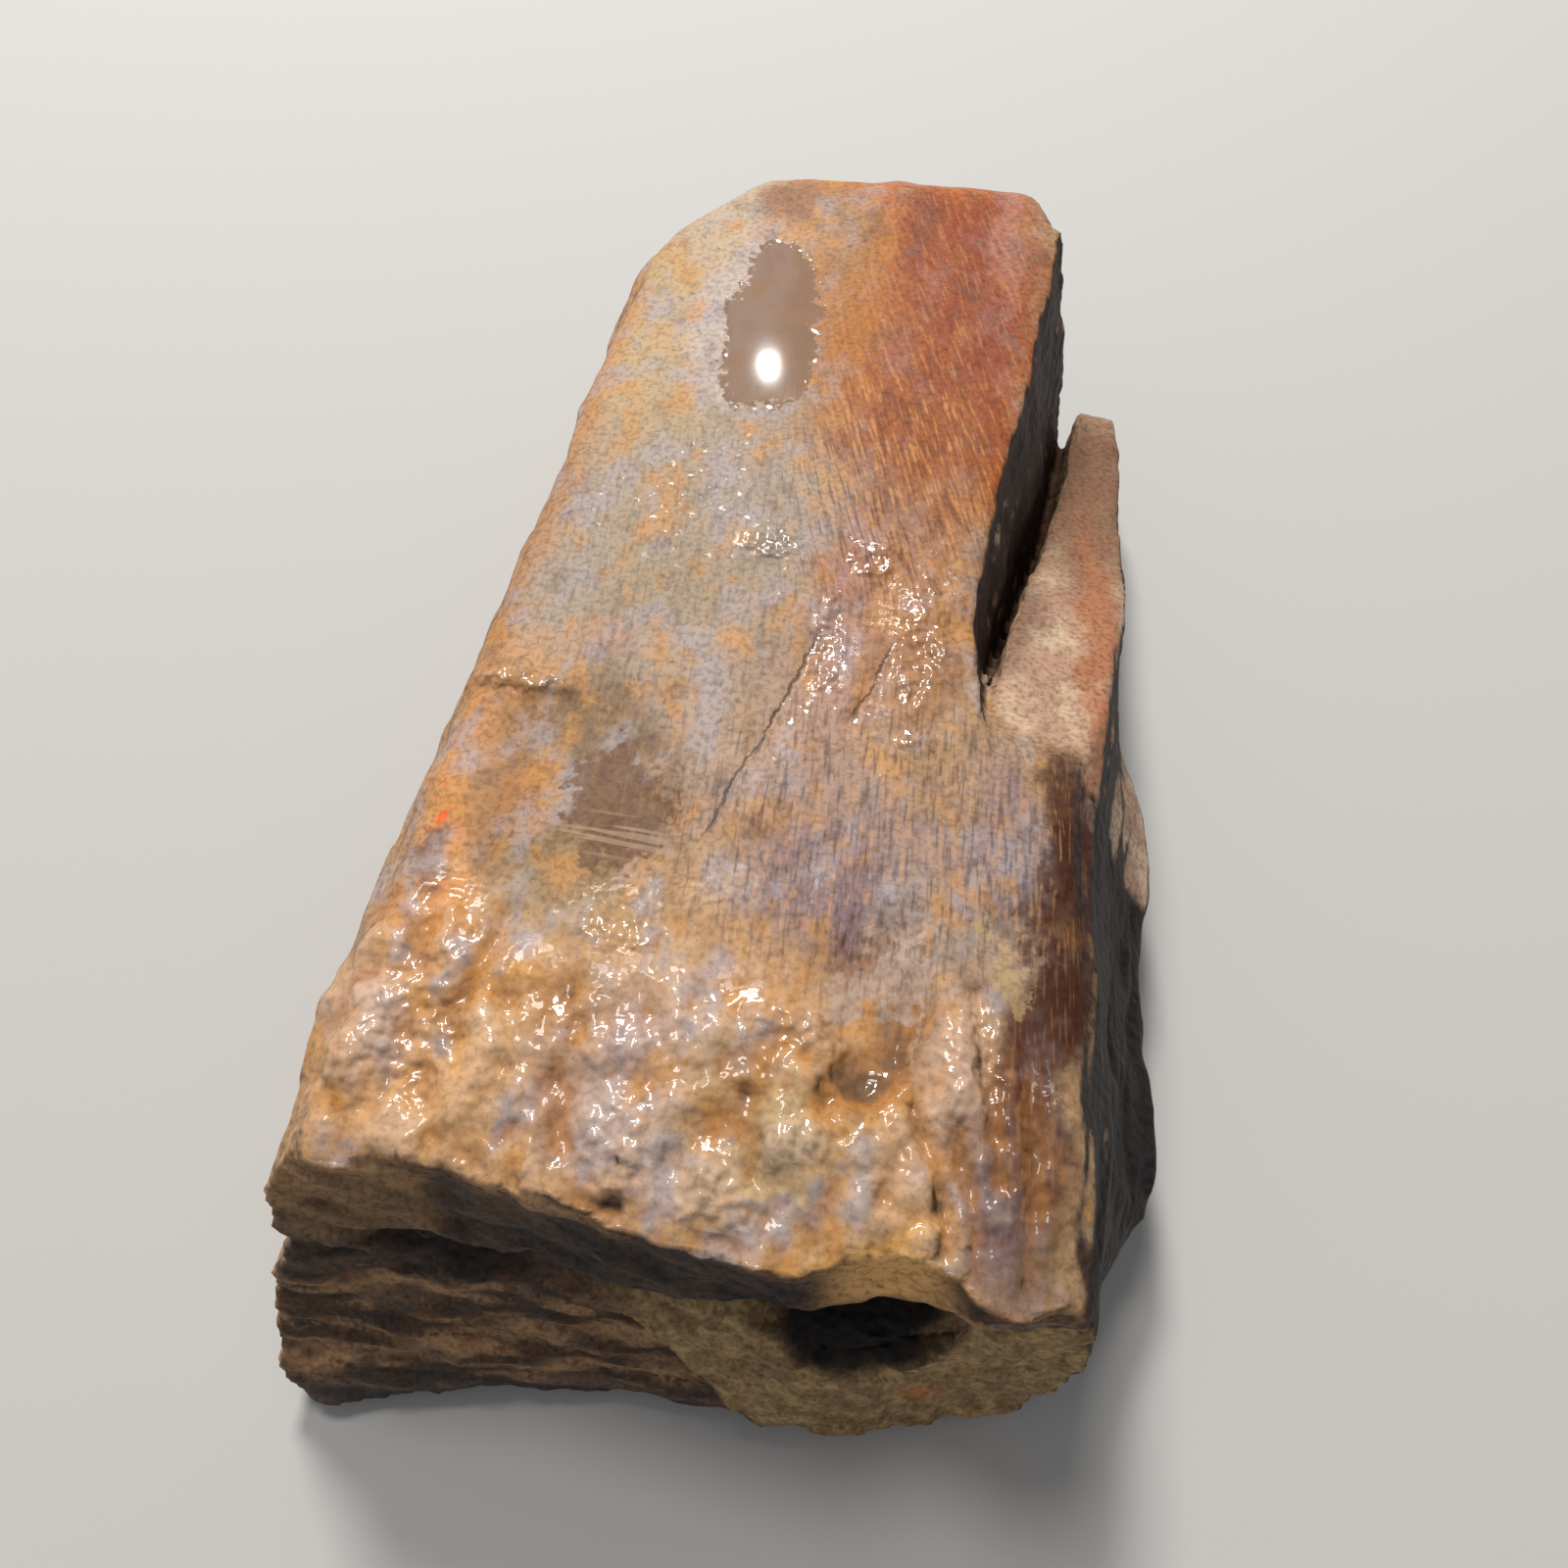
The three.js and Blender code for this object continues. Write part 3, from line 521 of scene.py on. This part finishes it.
def top_colours(points, relief, seed):
    """The polished top: soft stains, clouds of lilac grey, warm tan and dusk, paler crowns that are partly
    painted highlight, and amber and dark brown lows that are partly painted shade.
    """
    where = wandering(points, seed, fine=(1 - 0.6 * smooth(points[:, 1], -22, -27))[:, None])
    colours = np.tile(np.array(tone(170, 136, 100)), (len(points), 1))
    for stain in SOFT_STAINS:
        share = smooth(reach_of(where, stain), 1 + stain.edge, 1 - stain.edge) * stain.share
        colours = blended(colours, stain.colour, share)
    edge_band = region(points, 15.9, -21, 2.0, 18, 0.2)
    lilac_strip = region(points, 13.7, -35, 2.4, 6, 0.3)
    drift = (1 - 0.75 * region(points, *RUST_OVAL)) * (1 + 0.25 * smooth(points[:, 1], -22, -28))
    drift *= 1 - 0.8 * np.maximum(edge_band, lilac_strip)
    lilac = smooth(clouds(points, 2.4, 1.1), 0.0, 0.6) * drift
    warm = smooth(clouds(points, 2.2, 5.3), 0.05, 0.65) * drift
    dusk = smooth(clouds(points, 1.8, 8.9), 0.2, 0.9)
    colours = blended(colours, tone(168, 156, 158), lilac * 0.65)
    colours = blended(colours, tone(198, 140, 72), warm * 0.65)
    colours = blended(colours, tone(100, 76, 60), dusk * 0.4)
    lumpy, _ = lumpiness(points)
    # On the lumps the crowns are painted paler (a pale tone and painted highlight), the lows amber (a
    # stain gathered there and painted shade), and the deepest lows such as the pit dark brown (painted
    # shade).
    colours = blended(colours, tone(212, 186, 168), lumpy * smooth(relief, 0.15, 0.4) * 0.35)
    colours = blended(colours, tone(166, 108, 48), lumpy * smooth(relief, 0.05, -0.25) * 0.65)
    return blended(colours, tone(96, 70, 48), lumpy * smooth(relief, -0.35, -0.75) * 0.85)


def rock_colours(points, normals, seed):
    """The broken end and the walls: brown rock in layers, with olive, rust and grey, and painted shade in
    the hollows under the lip, on the right wall and on the cliff.
    """
    x, y, z = points.T
    tilted = points + np.stack([0 * x, 0 * x, 0.12 * x], axis=1)
    layers = ripple(tilted, (6, 6, 0.9), 3.0) + 0.5 * ripple(tilted, (3, 3, 0.45), 7.0 + seed)
    colours = np.tile(np.array(tone(76, 60, 48)), (len(points), 1))
    colours = blended(colours, tone(176, 138, 102), smooth(layers, -0.3, 0.5))
    rock = (1, 1, 1)
    rust = smooth(clouds(points, 2.0, 2.0 + seed, rock), 0.25, 0.7)
    grey = smooth(clouds(points, 2.6, 6.0, rock), 0.1, 0.6)
    colours = blended(colours, tone(130, 84, 52), rust * 0.6)
    colours = blended(colours, tone(72, 67, 66), grey * 0.6)

    near = smooth(y, -28.5, -31)
    ridge = x - RIDGE_X - RIDGE_LEAN * z
    block = near * smooth(ridge, -0.3, 0.8) * smooth(over_block(points), 0.4, -0.4)
    pale = smooth(clouds(points, 1.3, 4.0 + seed, rock), -0.2, 0.5)
    stone_tan = blended(np.tile(np.array(tone(150, 122, 84)), (len(points), 1)), tone(200, 168, 118), pale)
    colours += (stone_tan - colours) * (0.8 * block)[:, None]
    spot = near * np.exp(-((x - 12.2) ** 2 + (z - 5.8) ** 2) / 0.7)
    colours = blended(colours, tone(206, 128, 62), spot * 0.8)
    # The hollows under the lip are painted dark grey, partly the rock's own grey and partly painted shade,
    # and near black over the right block, which is painted shade.
    under_lip = 19.5 + 2.4 * smooth(x, -15.5, -13) * smooth(x, 7.5, 5.5)
    floor_of_hollow = np.where(x > 2, 8.2, 11.2)
    hollow = near * smooth(z, floor_of_hollow, floor_of_hollow + 1.2) * (1 - block)
    hollow *= smooth(z, under_lip + 0.6, under_lip - 0.8)
    colours = blended(colours, tone(58, 53, 52), hollow * 0.8)
    colours = blended(colours, tone(26, 23, 22), hollow * smooth(x, 0, 3) * smooth(z, 19.5, 18) * 0.95)
    lip = near * smooth(x, -12.5, -15) * smooth(z, 15.5, 17.5)
    uneven = 0.7 + 0.5 * ripple(points, (2.4, 2, 1.4), 3.3)
    colours = blended(colours, tone(172, 136, 98), lip * uneven * 0.8)
    facet = near * np.exp(-(((x - 8.8) / 2.8) ** 4)) * smooth(z, 18.2, 19.6)
    colours = blended(colours, tone(236, 184, 116), facet * 0.95)
    colours = blended(colours, tone(70, 66, 66), near * smooth(z, 4.5, 2.5) * smooth(x, 4, -2) * 0.7)

    left = smooth(-normals[:, 0], 0.6, 0.85)
    colours = blended(colours, tone(196, 160, 124), left * (0.45 + 0.35 * smooth(y, -25, -32)))
    # Painted shade: the right wall is painted near black, its own dark grey deepened by painted shade, and
    # the cliff above the ledge dark brown, which is painted shade.
    right = smooth(normals[:, 0] - 0.3 * near, 0.15, 0.5)
    colours = blended(colours, tone(30, 27, 28), right * 0.95)
    shaded_cliff = right * smooth(y, -6, -2) * smooth(x, 17, 15)
    return blended(colours, tone(50, 33, 25), shaded_cliff * 0.9)


def ledge_colours(points, seed):
    """The ledge: pinkish tan, browned towards the far tip and darkened along its inner edge by painted
    shadow of the cliff, and orange along its outer edge.
    """
    where = wandering(points, seed)
    colours = np.tile(np.array(tone(176, 140, 116)), (len(points), 1))
    colours = blended(colours, tone(202, 174, 146), smooth(clouds(points, 2.4, 3.0), -0.2, 0.5))
    # Painted shadow of the cliff: browner towards the far tip and darker along the inner edge by the
    # crevice.
    colours = blended(colours, tone(124, 88, 64), region(where, 18, 22, 5, 14, 0.5) * 0.9)
    colours = blended(colours, tone(98, 68, 52), region(where, 12.6, 5, 1.6, 9, 0.6, -8) * 0.6)
    return blended(colours, tone(168, 104, 66), region(where, 17.8, 0, 1.2, 16, 0.6, -3) * 0.8)


def paint(stone):
    """Lays on the colours, and the shares and depths that the material reads."""
    points, normals = read_points(stone)
    shares = zone_shares(points, normals)
    paint_stains(stone, points, normals, shares)
    where = wandering(points, 0.0, fine=(1 - 0.7 * region(points, *FLAT_OVAL))[:, None])
    paint_crisp_stains(stone, where)
    mark_patterns(stone, points, where, shares["top"])
    mark_gloss(stone, points, normals, where, shares)


def paint_stains(stone, points, normals, shares):
    """Two versions of the colours, which differ where an outline wanders."""
    relief = np.empty(len(points), np.float32)
    stone.data.attributes["relief"].data.foreach_get("value", relief)
    for name, seed in (("stains_a", 0.0), ("stains_b", 31.0)):
        ragged = 0.3 * ripple(points, (0.9, 0.9, 0.9), 2.6 + seed)
        colours = rock_colours(points, normals, seed)
        ledge = smooth(shares["ledge"] + ragged, 0.3, 0.7)[:, None]
        colours = colours * (1 - ledge) + ledge_colours(points, seed) * ledge
        top = smooth(shares["top"] + ragged, 0.3, 0.7)[:, None]
        colours = colours * (1 - top) + top_colours(points, relief, seed) * top
        keep_colours(stone, name, colours)


def paint_crisp_stains(stone, where):
    """The colours of the crisp stains, and how far each place lies inside the nearest outline."""
    crisp = np.full(len(where), -4.0)
    colours = np.tile(np.array(CRISP_STAINS[0].colour), (len(where), 1))
    for stain in CRISP_STAINS:
        inside = (1 - reach_of(where, stain)) / stain.edge
        colours[inside > crisp] = stain.colour
        crisp = np.maximum(crisp, inside)
    keep_colours(stone, "crisp_colours", colours)
    mark(stone, "crisp", crisp)


def window_share(where):
    """1 in the chalcedony window and 0 outside it."""
    ovals = CRISP_STAINS[:2]
    return smooth(np.max([(1 - reach_of(where, oval)) / oval.edge for oval in ovals], axis=0), -0.7, 0.7)


def mark_patterns(stone, points, where, top):
    """The shares of speckle, veins, threads, scratches and cracks."""
    x, y = points[:, 0], points[:, 1]
    near = top * smooth(y, -21, -26)
    mark(stone, "speckle", 0.5 - 0.08 * top - 0.12 * near - 0.36 * window_share(where) * top)
    foot = region(points, 4, 10, 7, 12)
    mark(stone, "veins", 0.6 * top * np.maximum(0.45 * region(points, *RUST_OVAL), foot))
    mauve = region(points, 5.5, -16, 12, 9.5)
    edge_band = 0.35 * region(where, 14.8, -23, 2.4, 16, 0.3)
    middle = 0.45 * region(points, -8, -1, 13, 14)
    threads = np.maximum(np.maximum(mauve, edge_band), middle)
    mark(stone, "threads", 0.5 * top * threads * (1 - foot))
    mark(stone, "slant", 0.05 + 0.29 * smooth(y, -4, 2) * smooth(x, -6, -2))
    mark(stone, "scratched", 0.7 * region(points, -8.6, -18.8, 3.2, 1.3, 0.3))
    across, depth = crack_fields(points)
    mark(stone, "crack", across)
    mark(stone, "crack_share", depth)


def mark_gloss(stone, points, normals, where, shares):
    """Roughness, the wet coat and the depth of the fine grain."""
    top, window = shares["top"], window_share(where)
    _, shine = lumpiness(points)
    beads = np.zeros(len(points))
    for x, y, half_x, half_y in BEADS:
        beads = np.maximum(beads, smooth(mound(points, x, y, half_x, half_y), 0.3, 0.6))
    right = smooth(normals[:, 0], 0.6, 0.85)
    satin = np.maximum(top, np.maximum(shares["ledge"], 0.6 * right))
    mark(stone, "rough", ROCK_ROUGHNESS * (1 - satin) + SATIN_ROUGHNESS * satin)
    mark(stone, "coat", top * np.maximum(0.5 * shine, beads))
    mark(stone, "glassy", top * region(points, *FLAT_OVAL, edge=0.3))
    cells = np.maximum(0.22 * region(points, -8, 6, 8, 5), region(points, 4, -4, 6, 9, 0.4))
    mark(stone, "cells", top * cells)
    wet = top * np.maximum(np.maximum(shine, window), beads)
    dry_grain = ROCK_GRAIN * (1 - satin) + SATIN_GRAIN * satin
    wet_grain = (WET_GRAIN + BEAD_GRAIN * beads) * (1 - window)
    mark(stone, "grain_depth", dry_grain * (1 - wet) + wet_grain * wet)


def crack_fields(points):
    """How far each place lies to the right of the nearer crack, in mm, and how deep the crack is
    there, from 0 past its ends to 1."""
    wander = 0.3 * ripple(points, (9, 2.2, 9), 4.4) + 0.15 * ripple(points, (9, 0.9, 9), 1.9)
    nearest = np.full(len(points), 9.0)
    depth = np.zeros(len(points))
    for route in (CRACK, SHORT_CRACK):
        far, near = route[0][1], route[-1][1]
        x = np.interp(-points[:, 1], [-place[1] for place in route], [place[0] for place in route])
        away = points[:, 0] - x - wander
        inside = smooth(points[:, 1], near - 0.3, near + 1.5) * smooth(points[:, 1], far + 0.3, far - 1.2)
        closer = np.abs(away) < np.abs(nearest)
        nearest = np.where(closer, away, nearest)
        depth = np.where(closer, inside, depth)
    return nearest, depth


def keep_colours(stone, name, colours):
    layer = stone.data.attributes.new(name, "FLOAT_COLOR", "POINT")
    layer.data.foreach_set("color", colours.astype(np.float32).ravel())


def mark(stone, name, values):
    """Keeps a number for each vertex, which the material reads."""
    attribute = stone.data.attributes.new(name, "FLOAT", "POINT")
    attribute.data.foreach_set("value", values.astype(np.float32))


# The material.

class Board:
    """Lays out the nodes of one material or group."""

    def __init__(self, tree):
        self.tree = tree

    def node(self, kind, **values):
        made = self.tree.nodes.new("ShaderNode" + kind)
        for key, value in values.items():
            setattr(made, key, value)
        return made

    def feed(self, socket, value):
        if isinstance(value, bpy.types.NodeSocket):
            self.tree.links.new(value, socket)
        else:
            socket.default_value = value

    def math(self, operation, a, b=0.0, c=None):
        made = self.node("Math", operation=operation)
        for socket, given in zip(made.inputs, (a, b) if c is None else (a, b, c)):
            self.feed(socket, given)
        return made.outputs[0]

    def band(self, value, low, high, out_low=0.0, out_high=1.0):
        made = self.node("MapRange", interpolation_type="SMOOTHSTEP")
        for socket, given in zip(made.inputs, (value, low, high, out_low, out_high)):
            self.feed(socket, given)
        return made.outputs[0]

    def mix(self, a, b, share, blend="MIX"):
        made = self.node("Mix", data_type="RGBA", blend_type=blend)
        self.feed(made.inputs[0], share)
        self.feed(made.inputs[6], a)
        self.feed(made.inputs[7], b)
        return made.outputs[2]

    def noise(self, vector, scale, detail, rough=0.55):
        made = self.node("TexNoise")
        self.feed(made.inputs["Vector"], vector)
        for name, value in (("Scale", scale), ("Detail", detail), ("Roughness", rough)):
            made.inputs[name].default_value = value
        return made.outputs["Fac"]

    def stretched(self, vector, scale, turn=0.0):
        made = self.node("Mapping")
        self.feed(made.inputs["Vector"], vector)
        made.inputs["Scale"].default_value = scale
        made.inputs["Rotation"].default_value = (0, 0, turn)
        return made.outputs[0]

    def share(self, name):
        return self.node("Attribute", attribute_name=name).outputs["Fac"]

    def colour_of(self, name):
        return self.node("Attribute", attribute_name=name).outputs["Color"]


def agate_bone_material():
    material = bpy.data.materials.new("agate bone")
    material.use_nodes = True
    tree = material.node_tree
    shader = tree.nodes["Principled BSDF"]
    board = Board(tree)
    place = board.stretched(board.node("TexCoord").outputs["Object"], (1 / MM, 1 / MM, 1 / MM))

    # The painted colours, broken up finely, and the crisp stains over them.
    ragged = board.noise(place, 1.5, 2.0, 0.65)
    uneven = board.math("SUBTRACT", ragged, 0.5)
    either = board.band(ragged, 0.42, 0.58)
    colour = board.mix(board.colour_of("stains_a"), board.colour_of("stains_b"), either)
    inside = board.math("MULTIPLY_ADD", uneven, CRISP_RAGGEDNESS, board.share("crisp"))
    crisp = board.math("MULTIPLY", board.band(inside, -1.0, 1.0), 0.85)
    colour = board.mix(colour, board.colour_of("crisp_colours"), crisp)

    # Fine strokes along the bone, long and slanted in the veins, and the dark gaps between them.
    veins, threads = board.share("veins"), board.share("threads")
    split = board.node("SeparateXYZ")
    board.feed(split.inputs[0], place)
    x, y, z = split.outputs
    joined = board.node("CombineXYZ")
    slid = board.math("MULTIPLY_ADD", y, board.share("slant"), x)
    board.feed(joined.inputs[0], board.math("MULTIPLY", slid, 4.2))
    board.feed(joined.inputs[1], board.math("MULTIPLY", y, 0.45))
    board.feed(joined.inputs[2], board.math("MULTIPLY", z, 4.2))
    strokes = board.noise(joined.outputs[0], 1.0, 1.0, 0.5)
    pale, dark = board.band(strokes, 0.54, 0.68), board.band(strokes, 0.47, 0.33)
    vein_tones = (veins, tone(208, 146, 82), tone(108, 58, 30))
    thread_tones = (threads, tone(196, 146, 100), tone(80, 56, 52))
    for share, light, deep in (vein_tones, thread_tones):
        colour = board.mix(colour, light, board.math("MULTIPLY", pale, share))
        colour = board.mix(colour, deep, board.math("MULTIPLY", dark, share))

    # Bone-cell speckle, scratches and the cracks.
    grit = board.noise(place, 2.8, 1.0, 0.7)
    shade = board.mix(tone(158, 146, 136), tone(255, 253, 250), board.band(grit, 0.34, 0.58))
    speckle = board.share("speckle")
    colour = board.mix(colour, shade, speckle, "MULTIPLY")
    specks = board.math("MULTIPLY", board.band(grit, 0.29, 0.23), speckle)
    colour = board.mix(colour, tone(70, 50, 40), specks)
    lines = board.noise(board.stretched(place, (0.16, 4.2, 1), -0.08), 1.0, 0.0)
    scratches = board.math("MULTIPLY", board.band(lines, 0.55, 0.66), board.share("scratched"))
    colour = board.mix(colour, tone(164, 136, 108), scratches)
    across = board.math("ABSOLUTE", board.math("MULTIPLY_ADD", uneven, 0.6, board.share("crack")))
    cracked = board.math("MULTIPLY", board.band(across, 0.14, 0.04), board.share("crack_share"))
    colour = board.mix(colour, tone(62, 42, 30), board.math("MULTIPLY", cracked, 0.8))
    board.feed(shader.inputs["Base Color"], colour)

    # Wet and glossy on the lumps and the window, satin between them, dull on raw rock.
    board.feed(shader.inputs["Roughness"], board.share("rough"))
    glass = board.math("MULTIPLY", crisp, board.share("glassy"))
    cells = board.math("MULTIPLY", board.band(ragged, 0.61, 0.67), board.share("cells"))
    wet = board.math("MAXIMUM", board.math("MAXIMUM", glass, cells), board.share("coat"))
    board.feed(shader.inputs["Coat Weight"], wet)
    shader.inputs["Coat Roughness"].default_value = 0.06
    shader.inputs["Specular IOR Level"].default_value = 0.25

    # Relief too fine for the mesh, in mm: a fine grain, and beads where the depth is greater.
    bump = board.node("Bump")
    bump.inputs["Distance"].default_value = MM
    depth = board.math("MULTIPLY", board.noise(place, 1.7, 0.0), board.share("grain_depth"))
    board.feed(bump.inputs["Height"], depth)
    board.feed(shader.inputs["Normal"], bump.outputs[0])
    board.feed(shader.inputs["Coat Normal"], bump.outputs[0])
    return material


# The floor and the studio light.

def lay_floor():
    bpy.ops.object.select_all(action="DESELECT")
    bpy.ops.mesh.primitive_plane_add(size=4, location=(0, 0, 0))
    floor = bpy.context.active_object
    floor.name = "floor"
    paper = bpy.data.materials.new("pale paper")
    paper.use_nodes = True
    tree = paper.node_tree
    tree.nodes.remove(tree.nodes["Principled BSDF"])
    matt = tree.nodes.new("ShaderNodeBsdfDiffuse")
    matt.inputs["Color"].default_value = tone(192, 190, 187)
    tree.links.new(matt.outputs[0], tree.nodes["Material Output"].inputs["Surface"])
    floor.data.materials.append(paper)


def hang_lamp(name, direction, size, power):
    """A round studio lamp 600 mm from the stone, facing it. The size is in mm."""
    lamp = bpy.data.lights.new(name, "AREA")
    lamp.shape = "DISK"
    lamp.size = size * MM
    lamp.energy = power
    lamp.color = (1.0, 0.98, 0.95)
    holder = bpy.data.objects.new(name, lamp)
    bpy.context.scene.collection.objects.link(holder)
    middle = Vector((0, 0, 20)) * MM
    holder.location = middle + Vector(direction).normalized() * LAMP_DISTANCE * MM
    holder.rotation_euler = (middle - holder.location).to_track_quat("-Z", "Y").to_euler()


def light_studio():
    bpy.context.scene.view_settings.view_transform = "Standard"
    hang_lamp("key lamp", (-0.24, 0.62, 0.75), 130, 3.1)
    hang_lamp("top lamp", (-0.2, 0.3, 0.93), 150, 1.3)
    hang_lamp("small lamp", (-0.139, 0.758, 0.636), 10, 0.03)
    world = bpy.data.worlds.new("studio")
    bpy.context.scene.world = world
    world.use_nodes = True
    world.node_tree.nodes["Background"].inputs["Color"].default_value = tone(228, 230, 234)
    world.node_tree.nodes["Background"].inputs["Strength"].default_value = 0.36


place_camera()
stone = carve_stone()
paint(stone)
stone.data.materials.append(agate_bone_material())
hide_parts(NODE)
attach(stone, "root")
lay_floor()
light_studio()
